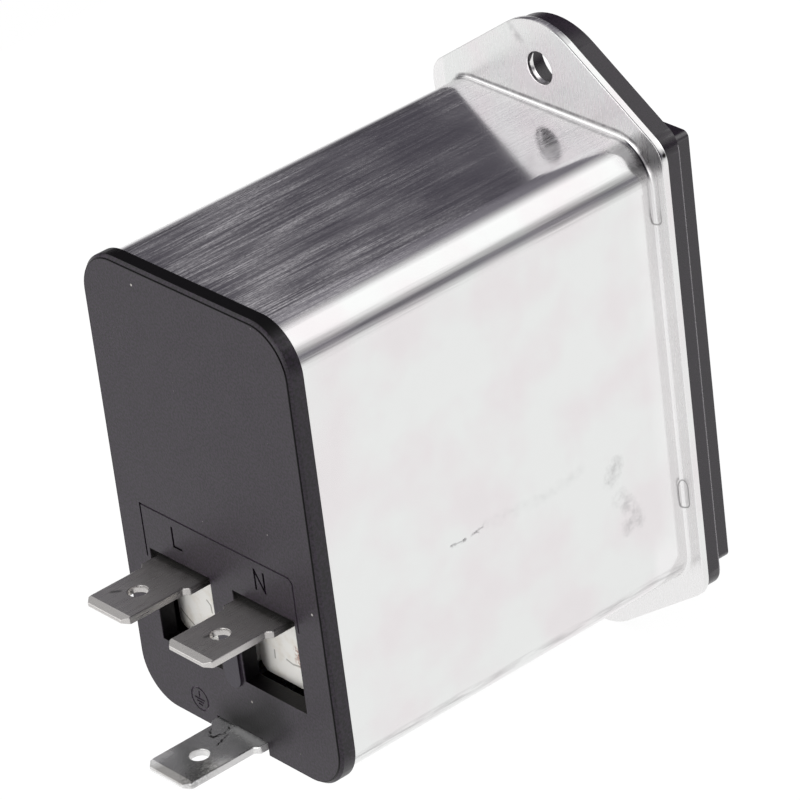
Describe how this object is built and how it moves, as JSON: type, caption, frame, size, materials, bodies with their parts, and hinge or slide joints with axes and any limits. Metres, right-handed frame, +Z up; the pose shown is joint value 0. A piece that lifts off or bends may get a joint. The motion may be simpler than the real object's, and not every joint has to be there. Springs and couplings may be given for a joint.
{
  "type": "fused mains power inlet with line filter",
  "caption": "Panel mains inlet in a flanged metal can: recessed pins and fuse drawer in front, line filter inside, quick-connect tabs on a plastic rear cap.",
  "frame": {"origin": "centre of the metal flange's back face, midway between the two panel holes", "axes": "+Y from the panel face to the rear cap and its tabs, +Z up towards the fuse drawer's end, the connector side faces -Y"},
  "size_m": [0.0332, 0.063, 0.0686],
  "materials": {
    "can_steel": "plated, brushed along the draw",
    "cap_plastic": "fine matte grain",
    "front_plastic": "satin",
    "drawer_plastic": "satin",
    "tab_metal": "tin plated, dull",
    "pin_metal": "nickel plated",
    "clip_metal": "spring bronze, satin",
    "fuse_glass": "clear",
    "fuse_metal": "nickel plated",
    "fuse_element": "tinned wire",
    "ferrite": "coated, matte",
    "enamel_wire": "enamelled copper, glossy",
    "film_box": "satin",
    "white_box": "cream white, matte",
    "resistor_body": "lacquered",
    "liner_film": "smooth",
    "strap_metal": "tin plated",
    "lead_sleeve": "satin sleeve"
  },
  "bodies": {
    "filter_case": {"metal_can": "can_steel", "rear_cap": "cap_plastic", "line_terminal": "tab_metal", "neutral_terminal": "tab_metal", "inlet_housing": "front_plastic", "line_pin": "pin_metal", "neutral_pin": "pin_metal", "earth_pin": "pin_metal", "line_front_clip": "clip_metal", "line_rear_clip": "clip_metal", "neutral_front_clip": "clip_metal", "neutral_rear_clip": "clip_metal", "choke_core": "ferrite", "line_winding": "enamel_wire", "neutral_winding": "enamel_wire", "x_capacitor": "film_box", "line_y_capacitor": "white_box", "neutral_y_capacitor": "white_box", "bleed_resistor": "resistor_body", "insulating_liner": "liner_film", "earth_strap": "strap_metal", "line_inlet_lead": "lead_sleeve", "neutral_inlet_lead": "lead_sleeve"},
    "fuse_carrier": {"fuse_drawer": "drawer_plastic", "line_fuse_tube": "fuse_glass", "line_fuse_front_cap": "fuse_metal", "line_fuse_rear_cap": "fuse_metal", "line_fuse_wire": "fuse_element", "neutral_fuse_tube": "fuse_glass", "neutral_fuse_front_cap": "fuse_metal", "neutral_fuse_rear_cap": "fuse_metal", "neutral_fuse_wire": "fuse_element"}
  },
  "joints": [
    {"name": "fuse_drawer_slide", "type": "slide", "parent": "filter_case", "child": "fuse_carrier", "axis": [0, -1, 0], "range_m": [0, 0.027]}
  ]
}
